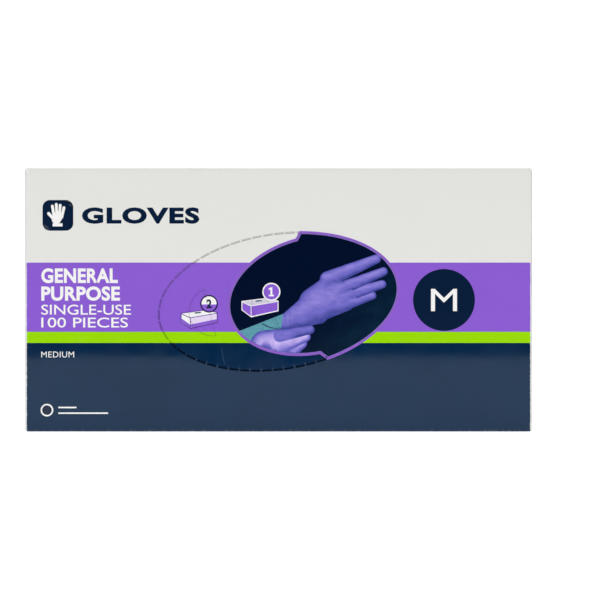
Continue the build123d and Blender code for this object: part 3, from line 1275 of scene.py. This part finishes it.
def small_lines(left, low):
    """Two thin lines beside a ring, where the fine print goes."""
    return [
        disc(left + 3.0, low + 3.0, 3.0, WHITE_INK),
        disc(left + 3.0, low + 3.0, 2.3, NAVY_INK, 2),
        bar(left + 8.4, left + 17.0, low + 3.9, low + 4.6, WHITE_INK),
        bar(left + 8.4, left + 32.0, low + 1.2, low + 1.9, WHITE_INK),
    ]


def roundel(x, y, radius):
    """The size mark."""
    across, up = radius * 0.42, radius * 0.36
    letter = words("M", x - across, x + across, y - up, y + up, WHITE_INK, 2)
    return [disc(x, y, radius, NAVY_INK, 1, 96), letter]


def carton_print():
    """The print on the carton's large faces and its ends."""
    films = headings(-112.7) + small_lines(-113.0, 7.2) + roundel(78.6, 62.5, 14.7)
    print_on("front_print", place_films(films, FRONT_FACE), "carton")
    films = headings(-110.0) + roundel(88.0, 62.5, 14.7) + small_lines(-110.3, 7.2)
    for row in range(7):
        films.append(bar(-20.0, 52.0 - (row % 3) * 9.0, 33.0 - row * 3.6, 34.1 - row * 3.6, WHITE_INK))
    print_on("back_print", place_films(films, BACK_FACE), "carton")
    films = glove_sign(-98.0, 0.0, 18.0)
    films.append(words("GLOVES", -84.0, -14.0, -5.0, 5.0, NAVY_INK, 1, 0.03))
    films.append(words("100", 86.0, 106.0, -4.5, 4.5, NAVY_INK, 1, 0.03))
    print_on("top_print", place_films(films, TOP_FACE), "carton")
    for side, end in ((-1, "left"), (1, "right")):
        films = glove_sign(0.0, 102.0, 17.0) + roundel(0.0, 62.8, 13.2)
        films.append(words("100", -11.0, 11.0, 23.0, 31.0, WHITE_INK, 1, 0.03))
        films.append(words("GLOVES", -15.0, 15.0, 13.5, 18.0, WHITE_INK, 1, 0.015))
        print_on(f"{end}_end_print", place_films(films, end_face(side)), f"{end}_outer_flap")


# ================================================================ glue
BEAD_WIDTH = 4.0  # the end flaps' beads, and how far behind the middle each one runs
BEAD_PLACES = (1.0, 12.0, 23.0)


def glue_bead(name, middle, size, thin_axis):
    """A pressed bead of glue with an uneven outline. size runs along X, Y and Z."""
    middle, size = Vector(middle), Vector(size)
    obj = block(name, middle - size / 2, middle + size / 2)
    long_axis = max(range(3), key=lambda axis: size[axis])
    wide_axis = 3 - long_axis - thin_axis
    normal = [0, 0, 0]
    normal[long_axis] = 1
    count = 24
    cut(obj, [middle[long_axis] + size[long_axis] * (step / count - 0.5) for step in range(1, count)], normal)
    for vert in obj.data.vertices:
        co = vert.co / MM
        share = (co[long_axis] - middle[long_axis]) / size[long_axis] * 2
        rounded = max(0.5, 1 - abs(share) ** 30)
        wave = 0.8 + 0.3 * noise.noise(Vector((co[long_axis] * 0.11, middle.y, co[wide_axis] * 0.2)))
        co[wide_axis] = middle[wide_axis] + (co[wide_axis] - middle[wide_axis]) * rounded * wave
        vert.co = co * MM
    return inked(clean(obj), GLUE)


def glue():
    """The adhesive at the seam and between the end flaps."""
    low, high = corners("seam_glue")
    seam = glue_bead("seam_glue_film", (low + high) / 2, high - low, 1)
    hand_over(seam, "carton", "adhesive", "seam_glue")
    for end in ("left", "right"):
        low, high = corners(f"{end}_end_glue")
        size = Vector((high.x - low.x, BEAD_WIDTH, high.z - low.z))
        beads = [glue_bead("bead", ((low.x + high.x) / 2, place, MIDDLE), size, 0) for place in BEAD_PLACES]
        hand_over(joined(f"{end}_end_beads", beads), f"{end}_inner_flap", "adhesive", f"{end}_end_glue")


# ================================================================ gloves
GLOVES = 100
glove_low, glove_high = corners("first_glove")
stack_back = corners("gloves_cuff_right")[1].y
GLOVE_THICKNESS = glove_high.y - glove_low.y
GLOVE_PITCH = (stack_back - glove_high.y) / (GLOVES - 1)
CUFF_WIDTH = 86.0
PALM_WIDTH = 94.0
PALM_LENGTH = 158.0
FINGER_WIDTH = 22.0
FINGER_LENGTHS = (56.0, 71.0, 75.0, 66.0)
THUMB_WIDTH = 25.0
THUMB_LENGTH = 92.0
THUMB_ANGLE = 28.0
THUMB_ROOT = (72.0, 22.0)
HOLLOW_DEPTH = 0.75  # how much flatter the film lies behind a thumb tab's middle
HOLLOW_RADIUS = 30.0
CUT_SHIFT = 0.37  # keeps the cuts between cells off the outline's own points
FINE_CELL = 2.6
COARSE_CELL = 11.0


def glove_sheet(cell):
    """A flat glove outline in the front's plane, cut into cells, cuff left and thumb up."""
    cuff = glove_low.x
    knuckles = cuff + PALM_LENGTH
    pitch = PALM_WIDTH / len(FINGER_LENGTHS)
    span = (-1.0, 0.0)
    low_side = ((cuff, -CUFF_WIDTH / 2), (knuckles, -PALM_WIDTH / 2))
    high_side = ((knuckles, PALM_WIDTH / 2), (cuff, CUFF_WIDTH / 2))
    shapes = [outline_prism("palm", low_side + high_side, span)]
    radius = FINGER_WIDTH / 2
    for index, length in enumerate(FINGER_LENGTHS):
        row = (index - 1.5) * pitch
        shapes.append(finger_prism((knuckles - 9, row), (knuckles + length - radius, row), radius, span))
    root = Vector((cuff + THUMB_ROOT[0], THUMB_ROOT[1]))
    way = Vector((cos(radians(THUMB_ANGLE)), sin(radians(THUMB_ANGLE))))
    half = THUMB_WIDTH / 2
    shapes.append(finger_prism(root + way * half, root + way * (THUMB_LENGTH - half), half, span))
    sheet = shapes[0]
    for shape in shapes[1:]:
        carve(sheet, shape, "UNION")
    discard(*shapes[1:])
    named(sheet, "glove_sheet")
    edit(sheet, "FACE", lambda middle, normal: normal.y > -0.5)
    bpy.ops.mesh.delete(type="FACE")
    done()
    everything(sheet)
    bpy.ops.mesh.dissolve_limited(angle_limit=radians(1))
    done()
    levels = [vert.co.z for vert in sheet.data.vertices]
    sheet.data.transform(Matrix.Translation((0, 0, MIDDLE * MM - (min(levels) + max(levels)) / 2)))
    steps = int(2 * HALF_LENGTH / cell)
    cut(sheet, [(step - steps // 2) * cell + CUT_SHIFT for step in range(steps + 1)], (1, 0, 0))
    cut(sheet, [step * cell + CUT_SHIFT for step in range(int(HEIGHT / cell) + 1)], (0, 0, 1))
    return sheet


def finger_prism(start, end, radius, span):
    """A round-ended prism standing out from the front."""
    start, end = Vector(start), Vector(end)
    deselect()
    bpy.ops.mesh.primitive_cylinder_add(
        vertices=40, radius=radius * MM, depth=(span[1] - span[0]) * MM, end_fill_type="NGON"
    )
    obj = added("finger")
    edit(obj, "VERT", lambda co: co.x > 0.001)
    bpy.ops.transform.translate(value=((end - start).length * MM, 0, 0))
    done()
    angle = atan2(end.y - start.y, end.x - start.x)
    turn = Matrix.Rotation(-angle, 4, "Y") @ UPRIGHT
    return settle(obj, Matrix.Translation(at(start.x, sum(span) / 2, start.y)) @ turn)


def kept_folds(x, z):
    """The share of its folds that the stack keeps: less behind the thumb tabs, which swing in."""
    away = min(hypot(x - middle[0], z - middle[1]) for middle in (TAB_1[0], TAB_2[0]))
    return 1 - HOLLOW_DEPTH * max(0.0, 1 - (away / HOLLOW_RADIUS) ** 2) ** 2


def rumple(x, z):
    """How far the film stands forward at a place, in mm, up to about 3."""
    place = Vector((x * 0.018, z * 0.024, 3.7))
    swirl = noise.noise_vector(place) * 0.9
    broad = noise.noise(place + swirl)
    fold = 1 - abs(noise.noise(Vector((x * 0.03, z * 0.075, 9.1)) + swirl * 1.4)) * 2.4
    crease = 1 - abs(noise.noise(Vector((x * 0.09, z * 0.12, 1.3)) + swirl * 2.2)) * 3.0
    full = 1.0 + 1.1 * broad + 0.9 * max(0.0, fold) + 0.35 * max(0.0, crease)
    return full * kept_folds(x, z)


def in_stack(number):
    """Whether a glove is turned over, its back's depth, and its share of the stack's folds."""
    return number % 2 == 0, stack_back - number * GLOVE_PITCH, (number / GLOVES) ** 1.5


def laid_glove(sheet, number):
    """A copy of the flat glove at its place in the stack, following the stack's folds."""
    obj = twin(sheet, "glove")
    over, depth, share = in_stack(number)
    along = noise.noise(Vector((number * 0.7, 0, 0))) * 1.2 * share
    up = noise.noise(Vector((0, number * 0.7, 0))) * 0.6 * share
    for vert in obj.data.vertices:
        x, z = vert.co.x / MM, vert.co.z / MM
        if over:
            x, z = -x, HEIGHT - z
        x, z = x + along, z + up
        vert.co = at(x, depth - GLOVE_THICKNESS - rumple(x, z) * share, z)
    return obj


def cuff_roll(number, palm_middle, thickness, points):
    """The rolled edge of a glove's cuff."""
    over, depth, share = in_stack(number)
    x = -glove_low.x if over else glove_low.x
    inward = -thickness / 2 if over else thickness / 2
    middle = HEIGHT - palm_middle if over else palm_middle
    curve = bpy.data.curves.new("cuff_roll", "CURVE")
    curve.dimensions = "3D"
    curve.bevel_depth = thickness / 2 * MM
    curve.bevel_resolution = 1
    curve.use_fill_caps = True
    spline = curve.splines.new("POLY")
    spline.points.add(points - 1)
    for index, point in enumerate(spline.points):
        z = middle + CUFF_WIDTH * 0.98 * (index / (points - 1) - 0.5)
        y = depth - GLOVE_THICKNESS / 2 - rumple(x, z) * share
        point.co = (*at(x + inward, y, z), 1)
    return clean(meshed(placed(curve)))


def film_walls(obj):
    """Gives the laid sheets their thickness, towards the back."""
    return applied(obj, "SOLIDIFY", thickness=GLOVE_THICKNESS * MM, offset=-1.0)


def gloves():
    """The hundred gloves: the first in full detail and the rest plainer behind it."""
    fine = glove_sheet(FINE_CELL)
    coarse = glove_sheet(COARSE_CELL)
    cuff_levels = [v.co.z / MM for v in fine.data.vertices if v.co.x / MM < glove_low.x + 0.5]
    palm_middle = (min(cuff_levels) + max(cuff_levels)) / 2
    first = film_walls(laid_glove(fine, GLOVES - 1))
    first = joined("first_glove_film", [first, cuff_roll(GLOVES - 1, palm_middle, 1.0, 40)])
    inked(first, FILM)
    hand_over(smooth(first, 60, False), "carton", "glove_film", "first_glove")
    for name, node, numbers in (
        ("left_cuff_gloves", "gloves_cuff_left", range(1, GLOVES - 1, 2)),
        ("right_cuff_gloves", "gloves_cuff_right", range(0, GLOVES, 2)),
    ):
        pieces = [laid_glove(coarse, number) for number in numbers]
        stack = film_walls(joined(name, pieces))
        rolls = [cuff_roll(number, palm_middle, 0.55, 8) for number in numbers]
        stack = inked(joined(name, [stack] + rolls), FILM)
        hand_over(smooth(stack, 60, False), "carton", "glove_film", node)
    discard(fine, coarse)


# ================================================================ build
front_panel()
back_panel()
level_panel("top_board", "top_panel", HEIGHT - BOARD, HEIGHT)
level_panel("bottom_board", "bottom_panel", BOARD, 0)
glue_flap()
for side, end in ((-1, "left"), (1, "right")):
    for level in ("top", "bottom"):
        dust_flap(side, end, level)
    end_flap(side, end, "outer")
    end_flap(side, end, "inner")
tear_out("tear_out_1", True)
tear_out("tear_out_2", False)
thumb_tab("thumb_tab_1", True)
thumb_tab("thumb_tab_2", False)
opening_print()
carton_print()
glue()
gloves()

# ================================================================ stage, light and camera
def stage():
    """A pale floor that meets a white surround."""
    deselect()
    bpy.ops.mesh.primitive_plane_add(size=1.84, location=(0, 0, 0))
    floor = added("floor")
    finish = Finish("pale_floor", 0.6, 0.2, Emission_Color=(1, 1, 1, 1), Emission_Strength=0.75)
    finish.finish(finish.mix(finish.grain(400.0, 2.0), (0.86, 0.86, 0.86, 1), (0.9, 0.9, 0.9, 1)))
    floor.data.materials.append(finish.material)


def surround():
    """White to the camera, and a dim grey room to everything else."""
    world = bpy.data.worlds.new("studio")
    bpy.context.scene.world = world
    world.use_nodes = True
    tree = world.node_tree
    seen = tree.nodes.new("ShaderNodeLightPath")
    white = tree.nodes["Background"]
    room = tree.nodes.new("ShaderNodeBackground")
    for light, strength in ((white, 1.1), (room, 0.03)):
        light.inputs["Color"].default_value = (1, 1, 1, 1)
        light.inputs["Strength"].default_value = strength
    mix = tree.nodes.new("ShaderNodeMixShader")
    tree.links.new(seen.outputs["Is Camera Ray"], mix.inputs["Fac"])
    tree.links.new(room.outputs[0], mix.inputs[1])
    tree.links.new(white.outputs[0], mix.inputs[2])
    tree.links.new(mix.outputs[0], tree.nodes["World Output"].inputs["Surface"])


def soft_light(name, place, size, power):
    """A large square light aimed at the carton."""
    lamp = bpy.data.lights.new(name, "AREA")
    lamp.shape = "SQUARE"
    lamp.size = size
    lamp.energy = power
    obj = placed(lamp)
    obj.location = place
    aim = Vector((0, 0, MIDDLE * MM)) - Vector(place)
    obj.rotation_euler = aim.to_track_quat("-Z", "Y").to_euler()


def camera():
    """Square on to the front, level with its middle, from a metre and a half away."""
    lens = bpy.data.cameras.new("camera")
    lens.sensor_width = 36.0
    distance = 1500.0
    width_seen = 285.0
    lens.lens = lens.sensor_width * distance / width_seen
    obj = placed(lens)
    obj.location = at(10.2, front_low.y - distance, MIDDLE)
    obj.rotation_euler = (pi / 2, 0, 0)
    bpy.context.scene.camera = obj


stage()
surround()
soft_light("key_light", (-1.0, -2.2, 0.9), 1.4, 23)
soft_light("fill_light", (1.5, -1.9, 0.8), 1.4, 13.5)
soft_light("top_light", (0.0, -0.1, 2.4), 1.8, 18)
soft_light("back_light", (0.4, 2.2, 1.3), 1.8, 18)
camera()
bpy.context.scene.view_settings.view_transform = "Standard"
